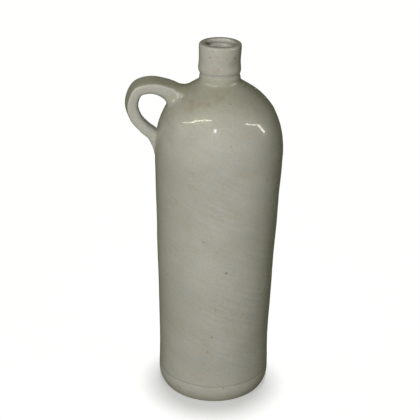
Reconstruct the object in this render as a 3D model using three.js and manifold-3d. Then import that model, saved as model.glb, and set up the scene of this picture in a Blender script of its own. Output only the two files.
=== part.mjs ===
// A tall stoneware water jug with a narrow collared neck and a one-finger strap handle.
// Millimetres, +Z up. The jug's axis is x = y = 0, its flat underside is z = 0, and the
// handle stands out towards -X. Every clay piece that the potter joins is a mesh of its own.

import * as THREE from 'three';
import { mergeVertices } from 'three/addons/utils/BufferGeometryUtils.js';
import { LoftGeometry } from 'three/addons/geometries/LoftGeometry.js';
import Module from 'manifold-3d';

// ---- Driving dimensions ----

const roundSegments = 48;
const clayGap = 0.3;

const foot = {
  flatRadius: 46.4,
  radius: 50.2,
  flareRadius: 20,
  flareTurn: 32,
  flareTop: 11,
  seamHeight: 16.6,
  seamGroove: 0.6,
  scarfDrop: 6.6,
  floorThickness: 9,
};

const wall = {
  thickness: 6,
  // Radius and height of the outer face, from the foot seam to the start of the shoulder.
  stations: [[50.1, 17.2], [49.6, 50], [51, 105], [53.2, 180], [54.7, 223], [54.3, 234.5]],
  steps: 11,
};

const shoulder = {
  centreRadius: -0.6,
  centreHeight: 234.5,
  radius: 54.9,
  turn: 57,
  steps: 9,
};

const neck = {
  radius: 17.2,
  fillet: 5.5,
  boreRadius: 12.2,
  boreFillet: 11,
  tubeRadius: 14.6,
  grooveDepth: 0.5,
  seatHeight: 293.8,
  tubeTop: 316,
  steps: 4,
};

const collar = {
  beadRadius: 17.85,
  beadHeight: 299.5,
  waistRadius: 17.4,
  waistHeight: 307,
  lipRadius: 17.65,
  lipHeight: 316.4,
  lipRounding: 1.8,
  landInner: 14,
  landOuter: 16.4,
  top: 320,
};

// Strap centreline from inside the shoulder, round the loop, to inside the wall:
// x, z, thickness across the loop and width along Y at each station.
const strapStations = [
  [-27, 268.5, 13, 22],
  [-37, 277.2, 12.6, 20],
  [-47.5, 281.8, 11.6, 18.4],
  [-58.6, 283, 11.2, 17.6],
  [-69.4, 278.7, 11.6, 17.4],
  [-73.4, 266, 11.2, 17.2],
  [-69.9, 254.2, 10, 17],
  [-62.9, 246.1, 8.4, 17],
  [-56.2, 239.8, 8.8, 17.6],
  [-51.9, 231.4, 10, 19],
  [-48.8, 221, 10, 20],
];
const strapSteps = 30;
const strapSectionPoints = 16;
const strapSquareness = 2.8;

// Luting clay pressed round each root: centre x and z, then half sizes along X, Y and Z.
const topWad = { x: -38.6, z: 273.2, halfX: 10, halfY: 13.5, halfZ: 7.5, tilt: 42 };
const tailWad = { x: -52.6, z: 234, halfX: 5.4, halfY: 12.5, halfZ: 11.5, tilt: 0 };

// ---- Materials ----

const glazeColours = { wall: 0xa09e8d, foot: 0x9c9a88, collar: 0xa5a392, strap: 0x9f9d8b, wad: 0x9d9885 };
const rawClayColour = 0xb5a88f;

function glazed(colour) {
  return new THREE.MeshStandardMaterial({ color: colour, roughness: 0.16, metalness: 0 });
}

function rawClay() {
  return new THREE.MeshStandardMaterial({ color: rawClayColour, roughness: 0.85, metalness: 0 });
}

// ---- Shapes ----

const { degToRad } = THREE.MathUtils;
const point = (radius, height) => new THREE.Vector2(radius, height);

function arc(centre, radius, fromDegrees, toDegrees, steps) {
  const clockwise = toDegrees < fromDegrees;
  const curve = new THREE.EllipseCurve(
    centre.x, centre.y, radius, radius, degToRad(fromDegrees), degToRad(toDegrees), clockwise,
  );
  return curve.getPoints(steps);
}

// The line of the wall, shoulder and neck from bottom to top, set in from the outer face.
function wallLine(inset, neckRadius, neckFillet) {
  const stations = wall.stations.map(([radius, height]) => point(radius - inset, height));
  const side = new THREE.SplineCurve(stations).getPoints(wall.steps);
  const centre = point(shoulder.centreRadius, shoulder.centreHeight);
  const domeRadius = shoulder.radius - inset;
  const dome = arc(centre, domeRadius, 0, shoulder.turn, shoulder.steps);

  const turn = degToRad(shoulder.turn);
  const normal = point(Math.cos(turn), Math.sin(turn));
  const filletRadius = neckRadius + neckFillet;
  const domeEnd = centre.clone().addScaledVector(normal, domeRadius + neckFillet);
  const run = (domeEnd.x - filletRadius) / normal.y;
  const filletCentre = point(filletRadius, domeEnd.y + run * normal.x);
  const fillet = arc(filletCentre, neckFillet, 180 + shoulder.turn, 180, neck.steps);
  return [...side, ...dome.slice(1), ...fillet];
}

// Revolves an outline of radius and height about the jug's axis, upright along Z.
function turned(outline) {
  return new THREE.LatheGeometry(outline, roundSegments).rotateX(Math.PI / 2);
}

function closed(outline) {
  return [...outline, outline[0].clone()];
}

// The strap: rounded-rectangle sections lofted along its centreline, both ends capped.
function strapLoft(grow) {
  const line = new THREE.CatmullRomCurve3(
    strapStations.map(([x, z]) => new THREE.Vector3(x, 0, z)), false, 'catmullrom',
  );
  const sizes = new THREE.CatmullRomCurve3(
    strapStations.map(([, , thickness, width]) => new THREE.Vector3(thickness, width, 0)),
    false, 'catmullrom',
  );
  const sections = [];
  for (let step = 0; step <= strapSteps; step += 1) {
    const t = step / strapSteps;
    const centre = line.getPoint(t);
    const along = line.getTangent(t);
    const across = new THREE.Vector3(-along.z, 0, along.x);
    const size = sizes.getPoint(t);
    sections.push(strapSection(centre, across, size.x / 2 + grow, size.y / 2 + grow));
  }
  return new LoftGeometry(sections, { capStart: true, capEnd: true });
}

function strapSection(centre, across, halfThickness, halfWidth) {
  const section = [];
  for (let index = 0; index < strapSectionPoints; index += 1) {
    const angle = (2 * Math.PI * index) / strapSectionPoints;
    const out = superellipse(Math.cos(angle)) * halfThickness;
    const side = -superellipse(Math.sin(angle)) * halfWidth;
    section.push(new THREE.Vector3(0, side, 0).add(centre).addScaledVector(across, out));
  }
  return section;
}

function superellipse(value) {
  return Math.sign(value) * Math.abs(value) ** (2 / strapSquareness);
}

function wadLump(wad) {
  const lump = new THREE.SphereGeometry(1, 28, 16);
  lump.scale(wad.halfX, wad.halfY, wad.halfZ);
  lump.rotateY(degToRad(wad.tilt));
  return lump.translate(wad.x, 0, wad.z);
}

// ---- Boolean cuts ----

const wasm = await Module();
wasm.setup();

function toSolid(geometry) {
  const bare = new THREE.BufferGeometry();
  bare.setAttribute('position', geometry.attributes.position);
  bare.setIndex(geometry.index);
  const welded = mergeVertices(bare);
  return new wasm.Manifold(new wasm.Mesh({
    numProp: 3,
    vertProperties: new Float32Array(welded.attributes.position.array),
    triVerts: new Uint32Array(wholeTriangles(welded.index.array)),
  }));
}

// Drops the triangles that a pole shrinks to a line.
function wholeTriangles(index) {
  const kept = [];
  for (let start = 0; start < index.length; start += 3) {
    const [a, b, c] = index.slice(start, start + 3);
    if (a !== b && b !== c && c !== a) kept.push(a, b, c);
  }
  return kept;
}

function toGeometry(solid) {
  const mesh = solid.getMesh();
  const geometry = new THREE.BufferGeometry();
  geometry.setAttribute('position', new THREE.BufferAttribute(mesh.vertProperties, 3));
  geometry.setIndex(new THREE.BufferAttribute(mesh.triVerts, 1));
  geometry.computeVertexNormals();
  return geometry;
}

// ---- Clay pieces ----

function baseDisc() {
  const radius = wall.stations[0][0] - wall.thickness;
  return turned([
    point(0, 0), point(radius, 0), point(radius, foot.floorThickness), point(0, foot.floorThickness),
  ]);
}

// The band round the base: rounded lower edge, and a sloping top that the wall is luted to.
function footRing() {
  const inner = wall.stations[0][0] - wall.thickness;
  const flareCentre = point(foot.radius - foot.flareRadius, foot.flareTop);
  const flare = arc(flareCentre, foot.flareRadius, -foot.flareTurn, 0, 5);
  return turned(closed([
    point(inner, 0),
    point(foot.flatRadius, 0),
    ...flare,
    point(foot.radius, foot.seamHeight - foot.seamGroove),
    point(foot.radius - foot.seamGroove, foot.seamHeight),
    point(inner, foot.seamHeight - foot.scarfDrop),
  ]));
}

// The thrown wall, drawn in to the shoulder and up to the thin tube inside the collar.
function bodyWall() {
  const outside = wallLine(0, neck.radius, neck.fillet);
  const inside = wallLine(wall.thickness, neck.boreRadius, neck.boreFillet);
  return turned(closed([
    point(foot.radius - foot.seamGroove, foot.seamHeight),
    ...outside,
    point(neck.radius - neck.grooveDepth, neck.seatHeight),
    point(neck.tubeRadius, neck.seatHeight),
    point(neck.tubeRadius, neck.tubeTop),
    point(neck.boreRadius, neck.tubeTop),
    ...inside.reverse(),
    point(wall.stations[0][0] - wall.thickness, foot.seamHeight - foot.scarfDrop),
  ]));
}

// The sleeve of clay round the neck tube. Its lip laps over the tube's end into the bore.
function neckCollar() {
  const lipCentre = point(collar.lipRadius - collar.lipRounding, collar.top - collar.lipRounding);
  const lip = arc(lipCentre, collar.lipRounding, 0, 60, 3);
  const mouthCentre = point(neck.boreRadius + collar.lipRounding, collar.top - collar.lipRounding);
  const mouth = arc(mouthCentre, collar.lipRounding, 120, 180, 3);
  const outline = [
    point(neck.tubeRadius, neck.seatHeight),
    point(neck.radius - neck.grooveDepth, neck.seatHeight),
    point(collar.beadRadius - neck.grooveDepth / 2, neck.seatHeight + 2),
    point(collar.beadRadius, collar.beadHeight),
    point(collar.waistRadius, collar.waistHeight),
    point(collar.lipRadius, collar.lipHeight),
    ...lip,
    point(collar.landOuter, collar.top),
    point(collar.landInner, collar.top),
    ...mouth,
    point(neck.boreRadius, neck.tubeTop),
    point(neck.tubeRadius, neck.tubeTop),
  ];
  return turned(closed(outline));
}

// Everything inside the jug's outer face, grown by a gap, to trim the handle against it.
function bodyTrim(gap) {
  const face = wallLine(-gap, neck.radius + gap, neck.fillet - gap);
  return turned([point(0, face[0].y), ...face, point(0, face.at(-1).y)]);
}

const bodyCut = toSolid(bodyTrim(clayGap));
const strapCut = toSolid(strapLoft(clayGap));

function handleStrap() {
  return toGeometry(toSolid(strapLoft(0)).subtract(bodyCut));
}

function handleWad(wad) {
  return toGeometry(toSolid(wadLump(wad)).subtract(bodyCut).subtract(strapCut));
}

// ---- The jug ----

const jug = new THREE.Group();

function addPiece(name, geometry, material) {
  const piece = new THREE.Mesh(geometry, material);
  piece.name = name;
  jug.add(piece);
}

addPiece('base_disc', baseDisc(), rawClay());
addPiece('foot_ring', footRing(), glazed(glazeColours.foot));
addPiece('body_wall', bodyWall(), glazed(glazeColours.wall));
addPiece('neck_collar', neckCollar(), glazed(glazeColours.collar));
addPiece('handle_strap', handleStrap(), glazed(glazeColours.strap));
addPiece('handle_top_wad', handleWad(topWad), glazed(glazeColours.wad));
addPiece('handle_tail_wad', handleWad(tailWad), glazed(glazeColours.wad));

export default jug;
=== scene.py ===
import math

import bmesh
import bpy
from mathutils import Matrix, Vector, noise


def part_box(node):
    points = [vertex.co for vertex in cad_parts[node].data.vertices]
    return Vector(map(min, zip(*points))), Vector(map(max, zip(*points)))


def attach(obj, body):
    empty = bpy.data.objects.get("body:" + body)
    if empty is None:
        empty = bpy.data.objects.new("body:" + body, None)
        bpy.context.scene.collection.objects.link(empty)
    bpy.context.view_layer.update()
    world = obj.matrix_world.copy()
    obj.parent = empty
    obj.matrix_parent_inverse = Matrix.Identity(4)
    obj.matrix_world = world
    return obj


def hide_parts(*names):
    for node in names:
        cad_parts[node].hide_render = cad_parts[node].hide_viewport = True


# A tall glazed stoneware water jug: wall, foot band, base slab, neck collar, and a strap handle
# luted on with two wads of clay. Metres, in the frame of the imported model.

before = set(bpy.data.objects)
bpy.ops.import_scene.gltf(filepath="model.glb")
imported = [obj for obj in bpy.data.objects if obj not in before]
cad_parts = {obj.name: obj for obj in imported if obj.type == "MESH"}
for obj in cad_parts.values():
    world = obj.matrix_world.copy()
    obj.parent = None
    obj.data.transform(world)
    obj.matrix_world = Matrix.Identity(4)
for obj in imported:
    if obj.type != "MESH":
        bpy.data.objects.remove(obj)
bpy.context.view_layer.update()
print("frame loaded:", sorted(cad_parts))

mm = 0.001
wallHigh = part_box("body_wall")[1]
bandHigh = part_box("foot_ring")[1]
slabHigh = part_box("base_disc")[1]
collarLow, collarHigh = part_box("neck_collar")

jugHeight = collarHigh.z
wallRadius = wallHigh.y      # widest part, under the shoulder
footRadius = bandHigh.y
slabRadius = slabHigh.y
collarRadius = collarHigh.y
footSeam = bandHigh.z
neckSeat = collarLow.z
mergeGap = 0.002 * mm


# the outer face of a true form, and the hollow inside it
jugLine = {
    # share of the widest radius, share of the height from the foot seam to the shoulder
    "side": (
        (0.9154, 0.0), (0.9063, 0.151), (0.9318, 0.404), (0.972, 0.7492), (0.9994, 0.947), (0.9921, 1.0),
    ),
    "sideFoot": 0.6 * mm,         # where the side starts, over the seam
    "shoulderStart": 0.7328,      # share of the jug's height
    "shoulderRadius": 54.9 * mm,
    "shoulderTurn": 57.0,         # degrees, from upright to the slope that meets the neck
    "neckRadius": 17.2 * mm,
    "neckFillet": 5.5 * mm,
    "wall": 6.0 * mm,
    "boreRadius": 12.2 * mm,
    "boreFillet": 11.0 * mm,
    "tubeRadius": 14.6 * mm,
    "tubeTop": wallHigh.z,
    "scarf": 6.6 * mm,
    "seamGroove": 0.15 * mm,
    "neckGroove": 0.55 * mm,
    # edges of the two grooves: share of the groove's depth, then mm from the joint
    "seamLip": ((1, 0), (0.85, 0.2), (0.55, 0.5)),
    "neckLip": ((0.15, 1.7), (0.5, 1.1), (0.85, 0.5), (1, 0)),
    "easeFrom": 205 * mm,
    "easeTo": 262 * mm,
    "easePasses": 60,
    "sideSteps": 16,
    "domeSteps": 40,
    "slopeSteps": 8,
    "filletSteps": 12,
}


def arcPoints(centre, radius, startAngle, endAngle, steps):
    points = []
    for step in range(steps + 1):
        angle = math.radians(startAngle + (endAngle - startAngle) * step / steps)
        points.append((centre[0] + radius * math.cos(angle), centre[1] + radius * math.sin(angle)))
    return points


def smoothPoints(stations, steps):
    # an even curve through every station, steps points to each stretch
    points = []
    for index in range(len(stations) - 1):
        points += [tuple(curveBetween(stations, index, step / steps)) for step in range(steps)]
    return points + [tuple(stations[-1])]


def curveBetween(stations, index, t):
    # from one station to the next, bent towards those before and after them
    last = len(stations) - 1
    places = [min(max(index + offset, 0), last) for offset in (-1, 0, 1, 2)]
    before, start, end, after = [Vector(stations[place]) for place in places]
    return 0.5 * (
        2 * start + (end - before) * t
        + (2 * before - 5 * start + 4 * end - after) * t * t
        + (3 * start - before - 3 * end + after) * t ** 3
    )


def wallLine(inset, neckRadius, neckFillet, fineness):
    # side, dome, straight slope and neck fillet, moved inwards by the inset
    line = jugLine
    foot = footSeam + line["sideFoot"]
    shoulderZ = line["shoulderStart"] * jugHeight
    side = [(share * wallRadius - inset, foot + rise * (shoulderZ - foot)) for share, rise in line["side"]]
    centre = (side[-1][0] + inset - line["shoulderRadius"], shoulderZ)
    domeRadius = line["shoulderRadius"] - inset
    points = smoothPoints(side, round(line["sideSteps"] * fineness))
    points += arcPoints(centre, domeRadius, 0, line["shoulderTurn"], round(line["domeSteps"] * fineness))[1:]

    turn = math.radians(line["shoulderTurn"])
    out, up = math.cos(turn), math.sin(turn)
    filletR = neckRadius + neckFillet
    offR = centre[0] + out * (domeRadius + neckFillet)
    offZ = centre[1] + up * (domeRadius + neckFillet)
    filletZ = offZ + (offR - filletR) / up * out
    start = Vector(points[-1])
    end = Vector((filletR - out * neckFillet, filletZ - up * neckFillet))
    slopeSteps = round(line["slopeSteps"] * fineness)
    points += [tuple(start.lerp(end, step / slopeSteps)) for step in range(1, slopeSteps)]
    filletSteps = round(line["filletSteps"] * fineness)
    points += arcPoints((filletR, filletZ), neckFillet, 180 + line["shoulderTurn"], 180, filletSteps)
    return easeLine(points, line["easeFrom"], line["easeTo"], round(line["easePasses"] * fineness ** 2))


def easeLine(points, low, high, passes):
    # lets neighbouring curves run into each other between two heights
    for _ in range(passes):
        eased = list(points)
        for index in range(1, len(points) - 1):
            if low < points[index][1] < high:
                before, after = points[index - 1], points[index + 1]
                share = (points[index][1] - before[1]) / max(after[1] - before[1], 1e-9)
                middle = before[0] + (after[0] - before[0]) * share
                eased[index] = (0.5 * (points[index][0] + middle), points[index][1])
        points = eased
    return points


outerLine = wallLine(0, jugLine["neckRadius"], jugLine["neckFillet"], 1)


def clayRadius(height):
    # radius of the outer face at a height
    if height <= outerLine[0][1]:
        return outerLine[0][0]
    for low, high in zip(outerLine, outerLine[1:]):
        if height <= high[1]:
            share = (height - low[1]) / max(high[1] - low[1], 1e-9)
            return low[0] + (high[0] - low[0]) * share
    return outerLine[-1][0]


def clayDepth(point):
    # how far a point is inside the outer face, measured level
    return clayRadius(point.z) - math.hypot(point.x, point.y)


def clayNormal(point):
    step = 0.3 * mm
    slope = (clayRadius(point.z + step) - clayRadius(point.z - step)) / (2 * step)
    level = Vector((point.x, point.y, 0)).normalized()
    return Vector((level.x, level.y, -slope)).normalized()


def ontoClay(point):
    # slides a point along the face's normal until it lies on the outer face
    passes, leastLevel = 6, 0.3
    moved = point.copy()
    for _ in range(passes):
        normal = clayNormal(moved)
        moved += normal * clayDepth(moved) * max(math.hypot(normal.x, normal.y), leastLevel)
    return moved


def onWall(angle, radius, height):
    # a spot at an angle in degrees round the jug
    turn = math.radians(angle)
    return Vector((math.cos(turn) * radius, math.sin(turn) * radius, height))


# how far the real jug is from a true form
potterHand = {
    # sideways lean of the axis: share of the height, then millimetres along X
    "lean": (
        (0.0, 0.25), (0.2, -0.1), (0.38, 0.0), (0.56, 0.45), (0.66, 0.85), (0.73, 0.85), (0.8, 0.75),
        (0.86, 0.5), (0.905, 0.25), (0.94, -0.3), (1.0, -0.05),
    ),
    "ovalAmount": 0.22 * mm,
    "ovalStart": 1.1,             # radians
    "ovalTurn": 3,                # radians from foot to rim
    "triangleAmount": 0.10 * mm,
    "triangleTurn": 5,
    "swellAmount": 0.36 * mm,
    "swellSize": 46 * mm,
    "rippleAmount": 0.10 * mm,
    "rippleSize": 15 * mm,
    "rippleFlatness": 2.2,
    "neckCalm": (0.90, 0.80, 0.65),     # shares of the height, then how much calmer the clay is
    "footCalm": (0.0, 0.08, 0.6),
    "seamWander": 0.9 * mm,
    "wanderSize": 30 * mm,
    "collarLift": 1.3 * mm,       # the groove under the collar runs higher in front
    "grooveReach": (5 * mm, 1 * mm),
    "innerGap": 1 * mm,           # clay this close to the axis or to a joint's inside stays true
    "seed": Vector((3.1, 7.7, 1.9)),
}

# raised grains and pits under the glaze: angle in degrees, height and width in mm, rise in mm
grains = (
    (-70, 155, 3.6, 0.34), (-65, 111, 2.8, 0.40), (-92, 69, 2.2, -0.45), (-95, 73, 4.2, 0.30),
    (-78, 79, 3.0, 0.26), (-48, 311.5, 1.8, 0.35), (-89, 97, 1.6, -0.30), (-101, 121, 3.4, 0.20),
    (-58, 60, 3.2, 0.22), (-129, 8.5, 3.4, -0.40), (-115, 6.5, 3.0, -0.35), (-140, 187, 3.6, 0.2),
    (20, 140, 4.0, 0.3), (75, 92, 3.2, 0.32), (110, 205, 4.2, -0.25), (140, 60, 3.4, 0.3),
    (60, 250, 3.0, 0.24),
)


def valueAt(table, place):
    # eases from each row's value to the next
    for low, high in zip(table, table[1:]):
        if place <= high[0]:
            return low[1] + (high[1] - low[1]) * smoothStep(low[0], high[0], place)
    return table[-1][1]


def handOffset(point):
    # level push, outwards, of the clay at a point
    hand = potterHand
    angle = math.atan2(point.y, point.x)
    share = point.z / jugHeight
    push = hand["ovalAmount"] * share * math.sin(2 * angle + hand["ovalStart"] + hand["ovalTurn"] * share)
    push += hand["triangleAmount"] * math.sin(3 * angle + hand["triangleTurn"] * share)
    swell = noise.noise(point / hand["swellSize"] + hand["seed"])
    flattened = Vector((point.x, point.y, hand["rippleFlatness"] * point.z))
    ripple = noise.noise(flattened / hand["rippleSize"] - hand["seed"])
    # the thin neck and the standing edge were trimmed truer than the wall
    calm = 1.0
    for start, end, part in (hand["neckCalm"], hand["footCalm"]):
        calm *= 1 - part + part * smoothStep(start, end, share)
    return (push + hand["swellAmount"] * swell + hand["rippleAmount"] * ripple) * calm


def smoothStep(start, end, value):
    t = min(max((value - start) / (end - start), 0), 1)
    return t * t * (3 - 2 * t)


def grainRise(point, radius):
    rise = 0.0
    for angle, height, width, amount in grains:
        away = (point - onWall(angle, radius, height * mm)).length / (width * mm)
        if away < 1:
            rise += amount * mm * (1 - away * away) ** 2
    return rise


def throwByHand(mesh, outerFace=None):
    # moves every point of a finished true form; outerFace says which points carry grains
    hand = potterHand
    far, near = hand["grooveReach"]
    gap = hand["innerGap"]
    for vert in mesh.vertices:
        point = vert.co.copy()
        radius = math.hypot(point.x, point.y)
        push = handOffset(point) if radius > gap else 0
        if outerFace and outerFace(point):
            push += grainRise(point, radius)
        if radius > gap:
            vert.co.x += point.x / radius * push
            vert.co.y += point.y / radius * push
        vert.co.x += valueAt(hand["lean"], point.z / jugHeight) * mm
        nearNeck = smoothStep(far, near, abs(point.z - neckSeat))
        if nearNeck and radius > jugLine["tubeRadius"] + 0.5 * gap:
            vert.co.z += hand["collarLift"] * nearNeck * max(-point.y / radius, 0) ** 2
        # the turned line over the foot wavers
        nearSeam = smoothStep(far, near, abs(point.z - footSeam))
        if nearSeam and radius > slabRadius + gap:
            level = Vector((point.x, point.y, 0))
            wander = noise.noise(level / hand["wanderSize"] + hand["seed"])
            vert.co.z += hand["seamWander"] * nearSeam * wander


def toScene(name, data):
    made = bpy.data.objects.new(name, data)
    bpy.context.scene.collection.objects.link(made)
    return made


def makePiece(name, bm, node, material, outerFace=None):
    bmesh.ops.remove_doubles(bm, verts=bm.verts, dist=mergeGap)
    bmesh.ops.dissolve_degenerate(bm, dist=0.5 * mergeGap, edges=bm.edges)
    bmesh.ops.recalc_face_normals(bm, faces=bm.faces)
    mesh = bpy.data.meshes.new(name)
    bm.to_mesh(mesh)
    bm.free()
    throwByHand(mesh, outerFace)
    mesh.polygons.foreach_set("use_smooth", [True] * len(mesh.polygons))
    mesh.materials.append(material)
    piece = toScene(name, mesh)
    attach(piece, "root")
    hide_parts(node)
    print(name, "made:", len(mesh.vertices), "points,", len(mesh.polygons), "faces")
    return piece


def turnOutline(outline, steps, closed=True):
    # revolves an outline of radius and height about the jug's axis
    bm = bmesh.new()
    points = [bm.verts.new((radius, 0, height)) for radius, height in outline]
    pairs = list(zip(points, points[1:]))
    if closed:
        pairs.append((points[-1], points[0]))
    edges = [bm.edges.new(pair) for pair in pairs]
    bmesh.ops.spin(
        bm, geom=points + edges, cent=(0, 0, 0), axis=(0, 0, 1),
        angle=2 * math.pi, steps=steps, use_merge=True, use_duplicate=False,
    )
    return bm


def wrapGrid(surface, across, along, facing=None):
    # lays a closed grid over surface(column, row); facing gives a value to keep at each column's points
    bm = bmesh.new()
    kept = bm.verts.layers.float.new("facing") if facing else None
    bmesh.ops.create_grid(bm, x_segments=across, y_segments=along, size=0.5)
    for vert in bm.verts:
        u = min(max(vert.co.x + 0.5, 0), 1)
        v = min(max(vert.co.y + 0.5, 0), 1)
        vert.co = surface(round(u * across) % across, round(v * along))
        if facing:
            vert[kept] = facing(round(u * across) % across)
    bmesh.ops.remove_doubles(bm, verts=bm.verts, dist=mergeGap)
    return bm


# dark specks of iron in the body, and where they stand: angle in degrees, height and radius in mm
specks = {
    "wall": (
        (-74, 278, 0.55), (-42, 276, 0.55), (-27, 264, 0.5), (-30, 265.5, 0.4), (-141, 229, 0.6),
        (-79, 249, 0.45), (-80, 134, 0.8), (-89, 97, 0.6), (-92, 69.5, 0.65), (-112, 213, 0.5),
        (-67, 223, 0.4), (-102, 163, 0.55), (-89, 154, 0.4), (-96, 54, 0.5), (-128, 267, 0.45),
        (35, 240, 0.6), (88, 180, 0.7), (120, 266, 0.5), (150, 120, 0.6), (64, 60, 0.6),
    ),
    "foot": ((-79, 15.5, 0.5), (-40, 9, 0.4), (60, 8, 0.5)),
    "handle": ((-163, 248, 0.4),),
    "collar": (
        (-118, 312, 0.5), (-111, 317, 0.4), (-72, 311, 0.45), (-48, 311, 0.9), (-95, 303, 0.4),
        (70, 309, 0.5),
    ),
}

# soft brown scorch under the glaze: angle in degrees, height and radius in mm
scorches = {
    "wall": (
        (-128, 277, 15), (-108, 279, 13), (-96, 283, 12), (-145, 281, 12), (-66, 286, 9),
        (172, 236, 10), (-172, 234, 9), (-150, 262, 8), (-113, 225, 3.5), (70, 282, 14), (110, 276, 12),
    ),
    "foot": ((-129, 8, 6), (-113, 5, 5), (-28, 12, 7), (100, 8, 8)),
    "collar": ((-100, 300, 6), (-50, 306, 7), (120, 304, 8)),
}


class nodeBench:
    # short calls for wiring a material's nodes
    def __init__(self, name):
        self.material = bpy.data.materials.new(name)
        self.material.use_nodes = True
        self.tree = self.material.node_tree
        self.shader = self.tree.nodes["Principled BSDF"]
        self.place = self.tree.nodes.new("ShaderNodeTexCoord").outputs["Object"]

    def add(self, kind, inputs=None, **settings):
        made = self.tree.nodes.new(kind)
        for key, value in settings.items():
            setattr(made, key, value)
        self.feed(made, inputs or {})
        return made

    def feed(self, node, inputs):
        # each value is a number, a colour or another node's output
        for key, value in inputs.items():
            if isinstance(value, bpy.types.NodeSocket):
                self.tree.links.new(value, node.inputs[key])
            else:
                node.inputs[key].default_value = value

    def math(self, operation, first, second=0.0):
        made = self.add("ShaderNodeMath", {0: first, 1: second}, operation=operation)
        return made.outputs[0]

    def times(self, first, second):
        return self.math("MULTIPLY", first, second)

    def ramp(self, value, low, high, start=0.0, end=1.0):
        made = self.add(
            "ShaderNodeMapRange",
            {"Value": value, "From Min": low, "From Max": high, "To Min": start, "To Max": end},
            interpolation_type="SMOOTHSTEP",
        )
        return made.outputs["Result"]

    def mottle(self, scale, detail, roughness, seed, place=None):
        values = {"W": seed, "Scale": scale, "Detail": detail, "Roughness": roughness}
        values["Vector"] = place or self.place
        made = self.add("ShaderNodeTexNoise", values, noise_dimensions="4D")
        return made.outputs["Fac"]

    def marks(self, kind, place=None):
        return self.mottle(*glazeNoise[kind], place=place)

    def patches(self, kind, least=0.0, most=1.0):
        return self.ramp(self.marks(kind), *glazeFade[kind], least, most)

    def bump(self, relief, strength, depth):
        made = self.add("ShaderNodeBump", {"Height": relief, "Strength": strength, "Distance": depth})
        return made.outputs["Normal"]

    def blend(self, amount, under, over):
        made = self.add("ShaderNodeMix", {"Factor": amount}, data_type="RGBA")
        for key, value in ((6, under), (7, over)):
            self.feed(made, {key: (*value, 1.0) if isinstance(value, tuple) else value})
        return made.outputs[2]

    def awayFrom(self, angle, height):
        # distance of each point from a spot on the outer face
        radius = clayRadius(height * mm) if height * mm < neckSeat else collarRadius
        spot = onWall(angle, radius, height * mm)
        made = self.add("ShaderNodeVectorMath", {0: self.place, 1: spot}, operation="DISTANCE")
        return made.outputs["Value"]


glazeLook = {
    "pale": (0.452, 0.442, 0.382),
    "grey": (0.400, 0.392, 0.338),
    "olive": (0.340, 0.333, 0.255),
    "warmBreak": (0.430, 0.380, 0.270),
    "coolBreak": (0.385, 0.415, 0.410),
    "streakPale": (0.55, 0.54, 0.475),
    "streakDark": (0.275, 0.265, 0.205),
    "grainDark": (0.27, 0.245, 0.195),
    "grainPale": (0.60, 0.59, 0.545),
    # also the painted shade on the strap's and the wads' outer faces
    "haze": (0.300, 0.288, 0.190),
    # painted highlight along the strap's ridge, over the glaze's paler break there
    "edge": (0.600, 0.580, 0.520),
    "scorch": (0.300, 0.235, 0.172),
    "iron": (0.085, 0.048, 0.026),
    "ironHalo": (0.290, 0.215, 0.135),
    "collarWarmth": (0.44, 0.40, 0.30),
    "bareClay": (0.470, 0.385, 0.270),
    "twist": 38.0,      # radians to each metre of height
    "draw": 0.42,       # how much the wipe marks are drawn out along their helix
    "gloss": 0.32,
    "glossRange": (-0.05, 0.10),
    "specular": 0.32,
    "coat": 0.55,
    "coatGloss": 0.045,
    "refraction": 1.5,
}

# noise behind each kind of mark: repeats to a metre, detail, roughness and seed
glazeNoise = {
    "broad": (20, 2.0, 0.5, 1.0),
    "clouds": (60, 3.0, 0.55, 5.0),
    "breaks": (210, 4.0, 0.75, 12.0),
    "streaks": (160, 3.5, 0.62, 2.0),
    "streakPatches": (24, 1.0, 0.5, 8.0),
    "grain": (820, 3.0, 0.75, 3.0),
    "hazePatches": (36, 3.0, 0.6, 13.0),
    "scorchPatches": (120, 5.0, 0.65, 4.0),
    "speckWobble": (1400, 1.0, 0.5, 6.0),
    "ragged": (160, 3.0, 0.5, 9.0),
    "peel": (420, 2.0, 0.5, 7.0),
    "waves": (110, 2.0, 0.5, 10.0),
    "sag": (75, 0.0, 0.5, 14.0),
    "worn": (60, 3.0, 0.6, 11.0),
}

# noise values between which each mark fades in
glazeFade = {
    "broad": (0.36, 0.66),
    "clouds": (0.45, 0.80),
    "warm": (0.50, 0.68),
    "cool": (0.50, 0.32),
    "streakPatches": (0.32, 0.60),
    "streakPale": (0.50, 0.72),
    "streakDark": (0.50, 0.30),
    "grainDark": (0.53, 0.70),
    "grainPale": (0.47, 0.30),
    "pinholes": (0.66, 0.80),
    "hazePatches": (0.30, 0.62),
    "scorchPatches": (0.40, 0.66),
    "worn": (0.35, 0.70),
}

# how strongly each mark covers the glaze under it
glazeAmount = {
    "clouds": 0.30,
    "breaks": 0.55,
    "streakPale": 0.26,
    "streakDark": 0.22,
    "streakLeast": 0.35,
    "grainDark": 0.42,
    "grainPale": 0.34,
    "hazeLeast": 0.55,
    "hazeBeside": 0.34,
    "hazeBesideFoot": 0.25,
    # strength of the painted shade on the strap's outer face, of its greyer inside and of the painted ridge
    # highlight
    "outerFace": 0.60,
    "innerFace": 0.25,
    "edge": 0.50,
    "scorch": 0.62,
    "halo": 0.40,
    "core": 0.78,
    "footOlive": 0.42,
}

# where the haze lies
hazePlan = {
    "shoulderLow": 246 * mm,
    "shoulderFull": 286 * mm,
    "neckFull": 289 * mm,
    "neckClear": 300 * mm,
    "sideStart": 0.0,
    "sideFull": -52 * mm,
    "besideLow": 40 * mm,
    "besideFull": 235 * mm,
}

# how far round the strap's section lie its painted shade on the outer face, its greyer inside and its painted
# ridge highlight, as the cosine of the turn
strapPaintedLightBands = {
    "outerFace": (0.74, 0.93),
    "innerFace": (-0.10, -0.60),
    "breakAndHighlightMiddle": 0.66,
    "breakAndHighlightWidth": (0.20, 0.02),
}

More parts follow.
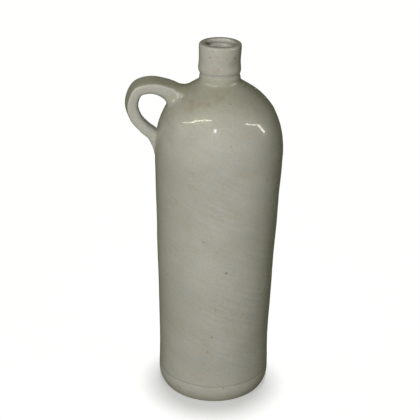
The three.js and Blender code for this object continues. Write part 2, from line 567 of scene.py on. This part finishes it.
# how specks and scorches fade outwards: shares of their radius, and mm added to it
speckLook = {
    "core": ((1.0, 0.30), (0.40, 0.05)),
    "halo": ((2.6, 0.3), (1.0, 0.0)),
    "wobble": 0.35 * mm,
    "fineEdge": (1.5, 0.4),
    "fineChoice": 0.08,
    "scorchCore": 0.15,
}

# scattered specks: cells to a metre, speck's reach in its cell, share left out, strength, shift
fineSpecks = ((150, 0.055, 0.86, 0.75, 0.3), (330, 0.10, 0.80, 0.42, 1.7))

# the glaze's uneven skin under its gloss
skinPlan = {
    "peel": 0.10,
    "waves": 0.55,
    "streaks": 0.08,
    "pinholes": 0.12,
    "strength": 0.42,
    "depth": 0.22 * mm,
    "coatStrength": 0.30,
}

footRun = {
    "oliveTop": 17 * mm,
    "oliveLow": 2 * mm,
    "raggedness": -1.6 * mm,
    "bareEdge": (0.1 * mm, -0.5 * mm),
    "bareRoughness": 0.5,
}


def swirlPlace(bench, twist, stretch):
    # turns each level of the jug a little further than the one below, so marks run as a slow helix
    split = bench.add("ShaderNodeSeparateXYZ", {"Vector": bench.place})
    angle = bench.times(split.outputs["Z"], twist)
    turned = bench.add(
        "ShaderNodeVectorRotate", {"Vector": bench.place, "Angle": angle}, rotation_type="Z_AXIS",
    )
    drawn = bench.add("ShaderNodeMapping", {"Vector": turned.outputs["Vector"], "Scale": (1, 1, stretch)})
    return drawn.outputs["Vector"], split.outputs["X"], split.outputs["Z"]


def glazeGround(bench):
    # pale and grey glaze, olive clouds where it lies thicker, then warm and cool breaks
    look, amount = glazeLook, glazeAmount
    colour = bench.blend(bench.patches("broad"), look["grey"], look["pale"])
    clouds = bench.times(bench.patches("clouds"), amount["clouds"])
    colour = bench.blend(clouds, colour, look["olive"])
    breaks = bench.marks("breaks")
    warm = bench.ramp(breaks, *glazeFade["warm"], 0.0, amount["breaks"])
    colour = bench.blend(warm, colour, look["warmBreak"])
    cool = bench.ramp(breaks, *glazeFade["cool"], 0.0, amount["breaks"])
    return bench.blend(cool, colour, look["coolBreak"])


def wipeMarks(bench, colour, streaks):
    patches = bench.patches("streakPatches", glazeAmount["streakLeast"])
    for kind in ("streakPale", "streakDark"):
        share = bench.times(patches, glazeAmount[kind])
        cover = bench.times(bench.ramp(streaks, *glazeFade[kind]), share)
        colour = bench.blend(cover, colour, glazeLook[kind])
    return colour


def clayGrain(bench, colour, grain):
    for kind in ("grainDark", "grainPale"):
        cover = bench.ramp(grain, *glazeFade[kind], 0.0, glazeAmount[kind])
        colour = bench.blend(cover, colour, glazeLook[kind])
    return colour


def ashHaze(bench, colour, sideways, height, strength):
    # ash haze over the shoulder and down the side by the handle
    plan, amount = hazePlan, glazeAmount
    over = bench.ramp(height, plan["shoulderLow"], plan["shoulderFull"])
    under = bench.ramp(height, plan["neckClear"], plan["neckFull"])
    shoulder = bench.times(bench.times(over, under), strength)
    beside = bench.ramp(sideways, plan["sideStart"], plan["sideFull"], 0.0, amount["hazeBeside"])
    upSide = bench.ramp(height, plan["besideLow"], plan["besideFull"], amount["hazeBesideFoot"], 1.0)
    beside = bench.times(beside, upSide)
    patches = bench.patches("hazePatches", amount["hazeLeast"])
    cover = bench.times(bench.math("MAXIMUM", shoulder, beside), patches)
    return bench.blend(cover, colour, glazeLook["haze"])


def strapShadeAndHighlight(bench, colour):
    # painted shade: the strap's outer face, turned from the front lights, is painted darker in the haze
    # colour, and the loop's inside is a little greyer; a painted highlight runs pale along the ridge, where
    # the glaze also breaks paler
    look, marks = glazeLook, strapPaintedLightBands
    facing = bench.add("ShaderNodeAttribute", attribute_name="facing").outputs["Fac"]
    # painted shade: the outer face is darkened with the haze colour
    outer = bench.ramp(facing, *marks["outerFace"], 0.0, glazeAmount["outerFace"])
    colour = bench.blend(outer, colour, look["haze"])
    inner = bench.ramp(facing, *marks["innerFace"], 0.0, glazeAmount["innerFace"])
    colour = bench.blend(inner, colour, look["grey"])
    # painted highlight along the ridge, over the glaze's paler break
    offBreakAndHighlight = bench.math("ABSOLUTE", bench.math("SUBTRACT", facing, marks["breakAndHighlightMiddle"]))
    edge = bench.ramp(offBreakAndHighlight, *marks["breakAndHighlightWidth"], 0.0, glazeAmount["edge"])
    return bench.blend(edge, colour, look["edge"])


def scorchMarks(bench, colour, spots):
    # brown scorch, broken up by noise
    patches = bench.patches("scorchPatches")
    total = None
    for angle, level, radius in spots:
        near = bench.ramp(bench.awayFrom(angle, level), radius * mm, speckLook["scorchCore"] * radius * mm)
        total = near if total is None else bench.math("MAXIMUM", total, near)
    cover = bench.times(bench.times(total, patches), glazeAmount["scorch"])
    return bench.blend(cover, colour, glazeLook["scorch"])


def ironSpecks(bench, colour):
    # fine specks of iron, one at most in each chosen cell
    for scale, reach, share, strength, shift in fineSpecks:
        away = (shift, 2 * shift, 3 * shift)
        moved = bench.add("ShaderNodeMapping", {"Vector": bench.place, "Location": away})
        cells = bench.add(
            "ShaderNodeTexVoronoi", {"Vector": moved.outputs["Vector"], "Scale": scale, "Randomness": 1.0},
            feature="F1", distance="EUCLIDEAN",
        )
        chosen = bench.add("ShaderNodeSeparateColor", {"Color": cells.outputs["Color"]}).outputs["Red"]
        inside = bench.ramp(cells.outputs["Distance"], *[edge * reach for edge in speckLook["fineEdge"]])
        cover = bench.times(inside, bench.ramp(chosen, share, share + speckLook["fineChoice"], 0.0, strength))
        colour = bench.blend(cover, colour, glazeLook["iron"])
    return colour


def largeSpecks(bench, colour, spots):
    # the larger specks, each with a rusty halo
    core, halo = None, None
    wobble = bench.times(bench.marks("speckWobble"), speckLook["wobble"])
    for angle, level, radius in spots:
        away = bench.math("ADD", bench.awayFrom(angle, level), wobble)
        inside, around = [
            bench.ramp(away, *[(share * radius + more) * mm for share, more in speckLook[part]])
            for part in ("core", "halo")
        ]
        core = inside if core is None else bench.math("MAXIMUM", core, inside)
        halo = around if halo is None else bench.math("MAXIMUM", halo, around)
    colour = bench.blend(bench.times(halo, glazeAmount["halo"]), colour, glazeLook["ironHalo"])
    return bench.blend(bench.times(core, glazeAmount["core"]), colour, glazeLook["iron"])


def glazeRunOff(bench, colour, height):
    # glaze pools olive and thin towards the foot and runs off the standing edge
    low = bench.ramp(height, footRun["oliveTop"], footRun["oliveLow"], 0.0, glazeAmount["footOlive"])
    colour = bench.blend(low, colour, glazeLook["olive"])
    ragged = bench.times(bench.marks("ragged"), footRun["raggedness"])
    bare = bench.ramp(bench.math("ADD", height, ragged), *footRun["bareEdge"])
    return bench.blend(bare, colour, glazeLook["bareClay"]), bare


def glazeSkin(bench, streaks, grain, bare):
    # orange peel, slow waves and pinholes in the glaze, under a smoother glassy coat
    skin, look = skinPlan, glazeLook
    peel = bench.times(bench.marks("peel"), skin["peel"])
    relief = bench.math("ADD", peel, bench.times(bench.marks("waves"), skin["waves"]))
    relief = bench.math("ADD", relief, bench.times(streaks, skin["streaks"]))
    pinholes = bench.ramp(grain, *glazeFade["pinholes"], 0.0, skin["pinholes"])
    relief = bench.math("SUBTRACT", relief, pinholes)
    low, high = look["glossRange"]
    worn = bench.patches("worn", look["gloss"] + low, look["gloss"] + high)
    if bare:
        worn = bench.math("ADD", worn, bench.times(bare, footRun["bareRoughness"]))
    bench.feed(bench.shader, {
        "Normal": bench.bump(relief, skin["strength"], skin["depth"]),
        "Coat Normal": bench.bump(bench.marks("sag"), skin["coatStrength"], skin["depth"]),
        "Roughness": worn,
        "IOR": look["refraction"],
        "Specular IOR Level": look["specular"],
        "Coat Weight": look["coat"],
        "Coat Roughness": look["coatGloss"],
        "Coat IOR": look["refraction"],
    })


def glaze(name, specksHere=(), scorchesHere=(), footBare=False, warmth=0.0, haze=0.0, edges=False):
    bench = nodeBench(name)
    swirl, sideways, height = swirlPlace(bench, glazeLook["twist"], glazeLook["draw"])
    streaks = bench.marks("streaks", swirl)
    grain = bench.marks("grain")
    colour = wipeMarks(bench, glazeGround(bench), streaks)
    colour = clayGrain(bench, colour, grain)
    if haze:
        colour = ashHaze(bench, colour, sideways, height, haze)
    # painted shade and a painted ridge highlight, placed by the section's facing
    if edges:
        colour = strapShadeAndHighlight(bench, colour)
    if scorchesHere:
        colour = scorchMarks(bench, colour, scorchesHere)
    colour = ironSpecks(bench, colour)
    if specksHere:
        colour = largeSpecks(bench, colour, specksHere)
    if warmth:
        colour = bench.blend(warmth, colour, glazeLook["collarWarmth"])
    bare = None
    if footBare:
        colour, bare = glazeRunOff(bench, colour, height)
    bench.feed(bench.shader, {"Base Color": colour})
    glazeSkin(bench, streaks, grain, bare)
    return bench.material


rawLook = {
    "pale": (0.500, 0.425, 0.310),
    "dark": (0.330, 0.262, 0.178),
    "ash": (0.210, 0.190, 0.160),
    "sand": (0.62, 0.56, 0.44),
    "ashEdge": 0.72,      # share of the slab's radius where the ash starts
    "ashCover": 0.45,
    # noise: repeats to a metre, detail, roughness and seed
    "broad": (45, 4.0, 0.6, 1.0),
    "grit": (1100, 3.0, 0.7, 2.0),
    "lumps": (380, 3.0, 0.6, 3.0),
    # noise values between which each fades in, then the least and most it gives
    "broadFade": (0.35, 0.68),
    "ashFade": (0.58, 0.70, 0.0, 0.5),
    "sandFade": (0.42, 0.30, 0.0, 0.35),
    "roughness": (0.3, 0.7, 0.72, 0.92),
    "gritShare": 0.5,
    "strength": 0.7,
    "depth": 0.25 * mm,
    "refraction": 1.45,
}


def rawClay(name):
    look = rawLook
    bench = nodeBench(name)
    broad = bench.ramp(bench.mottle(*look["broad"]), *look["broadFade"])
    colour = bench.blend(broad, look["dark"], look["pale"])
    middle = bench.add("ShaderNodeVectorMath", {0: bench.place, 1: (0, 0, 0)}, operation="DISTANCE")
    ashStart = look["ashEdge"] * slabRadius
    rim = bench.ramp(middle.outputs["Value"], ashStart, slabRadius, 0.0, look["ashCover"])
    colour = bench.blend(rim, colour, look["ash"])
    grit = bench.mottle(*look["grit"])
    colour = bench.blend(bench.ramp(grit, *look["ashFade"]), colour, look["ash"])
    colour = bench.blend(bench.ramp(grit, *look["sandFade"]), colour, look["sand"])
    relief = bench.math("ADD", bench.times(grit, look["gritShare"]), bench.mottle(*look["lumps"]))
    bench.feed(bench.shader, {
        "Base Color": colour,
        "Normal": bench.bump(relief, look["strength"], look["depth"]),
        "Roughness": bench.ramp(grit, *look["roughness"]),
        "IOR": look["refraction"],
    })
    return bench.material


wallGlaze = glaze("wallGlaze", specks["wall"], scorches["wall"], haze=0.62)
footGlaze = glaze("footGlaze", specks["foot"], scorches["foot"], footBare=True)
collarGlaze = glaze("collarGlaze", specks["collar"], scorches["collar"], warmth=0.10)
# the strap and the wads get painted shade on their outer faces and a painted highlight along their ridges
handleGlaze = glaze("handleGlaze", specks["handle"], scorches["wall"][5:7], edges=True)
wadGlaze = glaze("wadGlaze", (), scorches["wall"][5:7], haze=0.62, edges=True)
baseClay = rawClay("baseClay")
print("glazes and clay mixed")


wallPiece = {
    "steps": 240,
    "insideFineness": 0.42,
    "boreShares": (0.8, 0.6, 0.4, 0.2),      # heights of the rings in the neck's bore
}


def makeWall():
    # its outline runs from the foot seam up the outside, over the neck tube and down the inside
    line = jugLine
    inside = wallLine(line["wall"], line["boreRadius"], line["boreFillet"], wallPiece["insideFineness"])
    foot, neck = outerLine[0][0], outerLine[-1][0]
    seamLip = [(foot - share * line["seamGroove"], footSeam + rise * mm) for share, rise in line["seamLip"]]
    neckLip = [(neck - share * line["neckGroove"], neckSeat - drop * mm) for share, drop in line["neckLip"]]
    tube = [
        (line["tubeRadius"], neckSeat), (line["tubeRadius"], line["tubeTop"]),
        (line["boreRadius"], line["tubeTop"]),
    ]
    boreFoot = inside[-1][1]
    tube += [
        (line["boreRadius"], boreFoot + (line["tubeTop"] - boreFoot) * share)
        for share in wallPiece["boreShares"]
    ]
    sill = [(slabRadius, footSeam - line["scarf"])]
    bm = turnOutline(seamLip + outerLine + neckLip + tube + inside[::-1] + sill, wallPiece["steps"])

    def isOuter(point):
        return clayDepth(point) < 0.5 * line["wall"]
    return makePiece("jug_wall", bm, "body_wall", wallGlaze, isOuter)


footBand = {
    "flatRadius": 46.4 * mm,
    "flareRadius": 20 * mm,
    "flareTurn": 32,
    "flareTop": 11 * mm,
    "toeBulge": 0.12 * mm,
    # the rounded edge under the seam: how far in, then how far down, in mm
    "edge": ((0.03, 2.6), (0.09, 1.7), (0.15, 0.9), (0.21, 0.35)),
    "flareSteps": 18,
    "steps": 240,
}


def makeFoot():
    foot = footBand
    flat = foot["flatRadius"]
    centre = (footRadius - foot["flareRadius"], foot["flareTop"])
    flare = arcPoints(centre, foot["flareRadius"], -foot["flareTurn"], 0, foot["flareSteps"])
    start = flare[0]
    toe = [
        (slabRadius, 0), (0.5 * (slabRadius + flat), 0), (flat, 0),
        (0.5 * (flat + start[0]) + foot["toeBulge"], 0.3 * start[1]),
    ]
    edge = [(footRadius, 0.5 * (foot["flareTop"] + footSeam))]
    edge += [(footRadius - inset * mm, footSeam - drop * mm) for inset, drop in foot["edge"]]
    edge.append((outerLine[0][0] - jugLine["seamGroove"], footSeam))
    scarf = [(slabRadius, footSeam - jugLine["scarf"])]
    bm = turnOutline(toe + flare + edge + scarf, foot["steps"])

    def isOuter(point):
        return math.hypot(point.x, point.y) > flat and point.z > 0.5 * mm
    return makePiece("foot_band", bm, "foot_ring", footGlaze, isOuter)


# the slab was cut off the wheel with a wire, which left its arcs underneath
baseSlab = {
    "steps": 160,
    "rings": 56,
    "wirePitch": 2.6 * mm,
    "wireDepth": 0.16 * mm,
    "wireCentre": Vector((62 * mm, -30 * mm, 0)),
    "wireWander": 1.5 * mm,
    "wanderSize": 18 * mm,
    "tearSize": 9 * mm,
    "tearShare": 0.8,
    "edgeBreak": 0.5 * mm,
    "edgeFade": 8 * mm,
    "topRings": (0.66, 0.33, 0),
}


def wireMark(point):
    # rise of the underside at a point, from the wire's arcs and the torn clay between them
    slab = baseSlab
    away = (point - slab["wireCentre"]).length
    away += slab["wireWander"] * noise.noise(point / slab["wanderSize"])
    ridge = 0.5 - 0.5 * math.cos(2 * math.pi * away / slab["wirePitch"])
    tear = slab["tearShare"] * abs(noise.noise(point / slab["tearSize"]))
    flatFrom = slabRadius - 2 * slab["edgeBreak"]
    fade = smoothStep(flatFrom, slabRadius - slab["edgeFade"], math.hypot(point.x, point.y))
    return slab["wireDepth"] * fade * (ridge ** 2 + tear)


def makeSlab():
    slab = baseSlab
    top = slabHigh.z
    under = [(slabRadius * step / slab["rings"], 0) for step in range(slab["rings"])]
    side = [(slabRadius - slab["edgeBreak"], 0), (slabRadius, slab["edgeBreak"]), (slabRadius, top)]
    side += [(share * slabRadius, top) for share in slab["topRings"]]
    bm = turnOutline(under + side, slab["steps"], closed=False)
    bmesh.ops.remove_doubles(bm, verts=bm.verts, dist=mergeGap)
    for vert in bm.verts:
        inside = math.hypot(vert.co.x, vert.co.y) < slabRadius - 2 * slab["edgeBreak"]
        if vert.co.z < 0.1 * mm and inside:
            vert.co.z = wireMark(vert.co)
    return makePiece("base_slab", bm, "base_disc", baseClay)


collarPiece = {
    "beadRadius": 17.85 * mm,
    "waistRadius": 17.35 * mm,
    "lipRadius": 17.65 * mm,
    # the side's lower part: which radius, how far from it in mm, and the rise over the seat in mm
    "side": (
        ("foot", 0, 0), ("foot", 0.08, 1.0), ("foot", 0.55, 1.9), ("beadRadius", -0.22, 3.2),
        ("beadRadius", 0, 5.6), ("waistRadius", 0.12, 9.5), ("waistRadius", 0, 13.5),
    ),
    "lipDepth": 4.2 * mm,
    "lipRounding": 2.0 * mm,
    "mouthRounding": 1.3 * mm,
    # the groove was pressed by hand, so it wanders and its depth changes
    "pressDepth": 0.22 * mm,
    "pressSize": 13 * mm,
    "pressReach": (6 * mm, 2 * mm),
    "sideSteps": 5,
    "lipSteps": 8,
    "mouthSteps": 9,
    "steps": 160,
}


def pressGroove(bm, footRadiusHere):
    collar = collarPiece
    far, near = collar["pressReach"]
    for vert in bm.verts:
        rise = vert.co.z - neckSeat
        radius = math.hypot(vert.co.x, vert.co.y)
        if rise < far and radius > footRadiusHere - 0.1 * mm:
            level = Vector((vert.co.x, vert.co.y, 0))
            wander = noise.noise(level / collar["pressSize"] + potterHand["seed"])
            push = 1 + collar["pressDepth"] * wander * smoothStep(far, near, rise) / radius
            vert.co.x *= push
            vert.co.y *= push


def makeCollar():
    collar, line = collarPiece, jugLine
    top = collarHigh.z
    foot = line["neckRadius"] - line["neckGroove"]
    seat = [(line["tubeRadius"], neckSeat), (0.5 * (line["tubeRadius"] + foot), neckSeat)]
    side = [
        (collar.get(kind, foot) + offset * mm, neckSeat + rise * mm)
        for kind, offset, rise in collar["side"]
    ]
    side += [(collar["lipRadius"], top - collar[depth]) for depth in ("lipDepth", "lipRounding")]
    side = smoothPoints(side, collar["sideSteps"])
    rounding = collar["lipRounding"]
    lip = arcPoints((collar["lipRadius"] - rounding, top - rounding), rounding, 0, 90, collar["lipSteps"])
    rounding = collar["mouthRounding"]
    mouthCentre = (line["boreRadius"] + rounding, top - rounding)
    mouth = arcPoints(mouthCentre, rounding, 90, 180, collar["mouthSteps"])
    bore = [(line["boreRadius"], line["tubeTop"]), (line["tubeRadius"], line["tubeTop"])]
    bm = turnOutline(seat + side + lip[1:] + mouth + bore, collar["steps"])
    pressGroove(bm, foot)

    def isOuter(point):
        return math.hypot(point.x, point.y) > 0.5 * (collar["lipRadius"] + line["tubeRadius"])
    return makePiece("neck_collar_lip", bm, "neck_collar", collarGlaze, isOuter)


# one pulled strap of clay, bent into a loop
strap = {
    # x and z of the middle line, thickness across the loop and width along Y, in mm
    "stations": (
        (-27, 268.5, 13, 22), (-36.9, 276.6, 13.4, 20.4), (-47.4, 280.6, 12.6, 19.6),
        (-58.6, 282.2, 11.8, 19.2), (-69.05, 278.3, 11.4, 18.6), (-74, 266, 11.8, 18),
        (-70.75, 253.6, 11.9, 17.6), (-63.5, 245.5, 10.7, 17.2), (-56.4, 239.6, 10.3, 17.6),
        (-51.6, 231.4, 10.6, 19), (-48.8, 221, 10.2, 20),
    ),
    "outerSquareness": 5.0,
    "rootSquareness": 2.8,      # of the outer face where it runs on to the shoulder
    "rootShares": (0.24, 0.10),
    "innerSquareness": 2.6,
    # how far the strap turns its outer face to the front: share of its length, then degrees
    "twist": (
        (0, 13), (0.12, 10), (0.22, 7), (0.36, 10), (0.48, 13), (0.62, 12), (0.74, 7), (0.88, 1), (1, 0),
    ),
    "dent": 0.25 * mm,          # the maker's fingers left the strap a little uneven
    "dentRun": (8.4, 2.1),      # how quickly it changes along the strap and round it
    "tangentStep": 0.002,
    "around": 56,
    "along": 110,
    "sunk": 1.6 * mm,
}

# how its roots are searched for along it, in shares of its length
rootSearch = {"step": 0.004, "halvings": 18, "climb": 0.002, "limits": (0.02, 0.98)}


def strapStation(t):
    stations = strap["stations"]
    last = len(stations) - 1
    index = min(int(t * last), last - 1)
    return curveBetween(stations, index, t * last - index) * mm


def power(value, squareness):
    return math.copysign(abs(value) ** (2 / squareness), value)


def strapPoint(t, turn):
    # a point on the strap: t runs along it from the shoulder, turn runs round its section
    here = strapStation(t)
    step = strap["tangentStep"]
    ahead, behind = strapStation(min(t + step, 1)), strapStation(max(t - step, 0))
    along = Vector((ahead[0] - behind[0], 0, ahead[1] - behind[1])).normalized()
    outwards = Vector((along.z, 0, -along.x))
    angle = 2 * math.pi * turn
    squareness = strap["innerSquareness"]
    if math.cos(angle) > 0:
        rootShare = smoothStep(*strap["rootShares"], t)
        squareness = strap["outerSquareness"]
        squareness += (strap["rootSquareness"] - squareness) * rootShare
    # a turned section is thinned, so that the loop keeps its outline
    twist = math.radians(valueAt(strap["twist"], t))
    grip = squareness / (squareness - 1)
    half = (here[2] / 2) ** grip - (here[3] / 2 * math.sin(twist)) ** grip
    half = max(half, 0.0) ** (1 / grip) / math.cos(twist)
    across = power(math.cos(angle), squareness) * half
    side = power(math.sin(angle), squareness) * here[3] / 2
    run, turns = strap["dentRun"]
    across += strap["dent"] * noise.noise(Vector((run * t, turns * math.cos(angle), turns * math.sin(angle))))
    back = Vector((0, 1, 0))
    outFace = outwards * math.cos(twist) - back * math.sin(twist)
    sideFace = back * math.cos(twist) + outwards * math.sin(twist)
    return Vector((here[0], 0, here[1])) + outFace * across + sideFace * side


def rootAt(turn, upper, sunk):
    # where one line along the strap goes the given depth into the jug's outer face
    low = 0.5
    step = -rootSearch["step"] if upper else rootSearch["step"]
    while 0 < low + step < 1 and clayDepth(strapPoint(low + step, turn)) < sunk:
        low += step
    high = min(max(low + step, 0), 1)
    for _ in range(rootSearch["halvings"]):
        middle = (low + high) / 2
        if clayDepth(strapPoint(middle, turn)) < sunk:
            low = middle
        else:
            high = middle
    return high


def makeStrap():
    around, along = strap["around"], strap["along"]
    starts = [rootAt(index / around, True, strap["sunk"]) for index in range(around)]
    ends = [rootAt(index / around, False, strap["sunk"]) for index in range(around)]

    def surface(column, row):
        t = starts[column] + (ends[column] - starts[column]) * row / along
        return strapPoint(t, column / around)

    def facing(column):
        return math.cos(2 * math.pi * column / around)

    bm = wrapGrid(surface, around, along, facing)
    bmesh.ops.holes_fill(bm, edges=[edge for edge in bm.edges if edge.is_boundary], sides=0)
    bmesh.ops.triangulate(bm, faces=[face for face in bm.faces if len(face.verts) > 4])
    return makePiece("handle_strap_pulled", bm, "handle_strap", handleGlaze)


# wads of clay smoothed from the strap on to the wall
topRoot = {
    "upper": True,
    "inner": (15.5, 11.0),    # reach up the strap and along the wall, in mm, on the loop's inside
    "side": (6.5, 7.5),
    "outer": (11.0, 10.0),
    "around": 96,
    "bands": 14,
    "sunk": 0.12 * mm,
    "thickness": 1.8 * mm,
}

tailRoot = {
    "upper": False,
    "inner": (1.2, 1.2),
    "side": (2.6, 3.2),
    "outer": (5.0, 4.5),
    "around": 96,
    "bands": 12,
    "sunk": 0.12 * mm,
    "thickness": 1.5 * mm,
}


def rootReach(root, turn):
    # reaches change evenly from the loop's inside, over the sides, to its outside
    facing = math.cos(2 * math.pi * turn)
    low, high = (root["side"], root["outer"]) if facing > 0 else (root["side"], root["inner"])
    share = abs(facing)
    return [(low[index] + (high[index] - low[index]) * share) * mm for index in (0, 1)]


def rootCorners(root, turn, middle):
    # the strap's edge of the wad, the corner under it and the wall's edge of it
    reachUp, reachOut = rootReach(root, turn)
    t = rootAt(turn, root["upper"], 0)
    step = rootSearch["climb"] if root["upper"] else -rootSearch["climb"]
    lowest, highest = rootSearch["limits"]
    strapEdge = strapPoint(t, turn)
    corner = ontoClay(strapEdge)
    climbed = 0.0
    while climbed < reachUp and lowest < t < highest:
        t += step
        here = strapPoint(t, turn)
        climbed += (here - strapEdge).length
        strapEdge = here
    away = corner - middle
    normal = clayNormal(corner)
    away = (away - normal * away.dot(normal)).normalized()
    return strapEdge, corner, ontoClay(corner + away * reachOut)


def rootRow(root, turn, middle):
    # one slice through the wad: its face from strap to wall, then its hidden back
    strapEdge, corner, wallEdge = rootCorners(root, turn, middle)
    wallIn = -clayNormal(wallEdge)
    cornerIn = -clayNormal(corner)
    strapIn = (middle - corner).normalized()
    first = strapEdge + strapIn * root["sunk"]
    final = wallEdge + wallIn * root["sunk"]
    row = []
    for band in range(root["bands"] + 1):
        u = band / root["bands"]
        row.append(first * (1 - u) ** 2 + corner * (2 * u * (1 - u)) + final * u ** 2)
    deep = root["thickness"]
    return row + [final + wallIn * deep, corner + (cornerIn + strapIn) * deep, first + strapIn * deep]


def makeRoot(name, root, node):
    count = root["around"]
    meets = [strapPoint(rootAt(index / count, root["upper"], 0), index / count) for index in range(count)]
    middle = sum(meets, Vector()) / count
    slices = [rootRow(root, index / count, middle) for index in range(count)]
    rows = len(slices[0])

    def surface(column, row):
        return slices[column][row % rows]

    def facing(column):
        return max(math.cos(2 * math.pi * column / count), 0)

    bm = wrapGrid(surface, count, rows, facing)
    return makePiece(name, bm, node, wadGlaze)


jugWall = makeWall()
jugFoot = makeFoot()
makeSlab()
makeCollar()
makeStrap()
makeRoot("luting_wad_top", topRoot, "handle_top_wad")
makeRoot("luting_wad_tail", tailRoot, "handle_tail_wad")
print("pieces done")


floorPlan = {
    "size": 9.0,
    "colour": (0.90, 0.90, 0.90),
    "roughness": 0.9,
    "glow": 0.44,       # keeps the shadow pale
    "glowColour": (0.97, 0.965, 1.0),
}

lights = {
    # place in metres, what it is aimed at, the way its long side runs, size, power in watts, colour
    "flash": {"place": (-0.150, -0.80, 0.68), "aim": (0, 0, 0.26), "along": (1, 0, 0), "size": (0.075, 0.055),
              "power": 0.28, "colour": (0.80, 0.88, 1.0), "diffuse": False},
    "key": {"place": (-0.25, -1.05, 0.66), "aim": (0, 0, 0.18), "along": (1, 0, 0), "size": (0.45, 0.45),
            "power": 12.9, "colour": (0.97, 0.965, 1.0), "glossy": False},
    "back": {"place": (0.1, 1.2, 0.14), "aim": (0, 0, 0.16), "along": (1, 0, 0), "size": (0.6, 0.4),
             "power": 9.0, "colour": (1.0, 0.99, 0.97), "glossy": False},
    "tubeLeft": {"place": (-0.98, -0.645, 1.266), "aim": (0, 0, 0.26), "along": (1.57, -0.23, 0),
                 "size": (1.58, 0.08), "power": 6.6, "colour": (1.0, 0.96, 0.78), "diffuse": False},
    "tubeRight": {"place": (2.2, -0.38, 1.266), "aim": (0, 0, 0.26), "along": (1.95, 0.35, 0),
                  "size": (1.9, 0.16), "power": 17.0, "colour": (1.0, 0.96, 0.78), "diffuse": False},
}

overhead = {"strength": 1.70, "colour": (1.0, 1.0, 1.0), "spread": 8, "tilt": (-4, 0.6)}    # degrees
room = {"ambient": (0.112, 0.118, 0.078)}


def makeFloor():
    bm = bmesh.new()
    bmesh.ops.create_grid(bm, x_segments=1, y_segments=1, size=floorPlan["size"] / 2)
    mesh = bpy.data.meshes.new("floor")
    bm.to_mesh(mesh)
    bm.free()
    floor = toScene("floor", mesh)
    bench = nodeBench("floorPaper")
    bench.feed(bench.shader, {
        "Base Color": (*floorPlan["colour"], 1.0),
        "Roughness": floorPlan["roughness"],
        "Specular IOR Level": 0.0,
        "Emission Color": (*floorPlan["glowColour"], 1.0),
        "Emission Strength": floorPlan["glow"],
    })
    mesh.materials.append(bench.material)
    floor.visible_diffuse = False
    floor.visible_glossy = False
    return floor


def makeLight(name, plan):
    lamp = bpy.data.lights.new(name, "AREA")
    lamp.shape = "RECTANGLE"
    lamp.size, lamp.size_y = plan["size"]
    lamp.energy = plan["power"]
    lamp.color = plan["colour"]
    light = toScene(name, lamp)
    back = (Vector(plan["place"]) - Vector(plan["aim"])).normalized()
    side = Vector(plan["along"])
    side = (side - back * side.dot(back)).normalized()
    light.matrix_world = Matrix((side, back.cross(side), back)).transposed().to_4x4()
    light.location = plan["place"]
    light.visible_glossy = plan.get("glossy", True)
    light.visible_diffuse = plan.get("diffuse", True)
    light.visible_camera = False
    return light


def makeStage():
    floor = makeFloor()
    onlyFloor = bpy.data.collections.new("onlyFloor")
    onlyFloor.objects.link(floor)
    butFloor = bpy.data.collections.new("butFloor")
    butFloor.objects.link(floor)
    butFloor.collection_objects[0].light_linking.link_state = "EXCLUDE"
    for name, plan in lights.items():
        makeLight(name, plan).light_linking.receiver_collection = butFloor
    sun = bpy.data.lights.new("overhead", "SUN")
    sun.energy = overhead["strength"]
    sun.color = overhead["colour"]
    sun.angle = math.radians(overhead["spread"])
    above = toScene("overhead", sun)
    above.rotation_euler = (math.radians(overhead["tilt"][0]), math.radians(overhead["tilt"][1]), 0)
    above.light_linking.receiver_collection = onlyFloor
    # only the body shades the floor, so the shadow stays a plain soft round one
    shading = bpy.data.collections.new("shading")
    shading.objects.link(jugWall)
    shading.objects.link(jugFoot)
    above.light_linking.blocker_collection = shading

    world = bpy.data.worlds.new("room")
    bpy.context.scene.world = world
    world.use_nodes = True
    tree = world.node_tree
    paint = tree.nodes["Background"]
    paint.inputs["Strength"].default_value = 1.0
    seen = tree.nodes.new("ShaderNodeLightPath")
    mix = tree.nodes.new("ShaderNodeMix")
    mix.data_type = "RGBA"
    mix.inputs[6].default_value = (*room["ambient"], 1)
    mix.inputs[7].default_value = (1, 1, 1, 1)
    tree.links.new(seen.outputs["Is Camera Ray"], mix.inputs["Factor"])
    tree.links.new(mix.outputs[2], paint.inputs["Color"])


cameraPlan = {
    "place": (-5.68 * mm, -845.46 * mm, 566.14 * mm),
    "down": 25.173,       # degrees below level
    "roll": 1.2065,       # degrees
    "lens": 91.39,
}


def makeCamera():
    data = bpy.data.cameras.new("camera")
    data.sensor_width = 36.0
    data.lens = cameraPlan["lens"]
    data.clip_start = 0.01
    camera = toScene("camera", data)
    pitch = Matrix.Rotation(math.radians(90 - cameraPlan["down"]), 3, "X")
    roll = Matrix.Rotation(math.radians(cameraPlan["roll"]), 3, "Z")
    camera.rotation_euler = (pitch @ roll).to_euler()
    camera.location = cameraPlan["place"]
    bpy.context.scene.camera = camera


makeStage()
makeCamera()
bpy.context.scene.view_settings.view_transform = "Standard"
print("stage set")
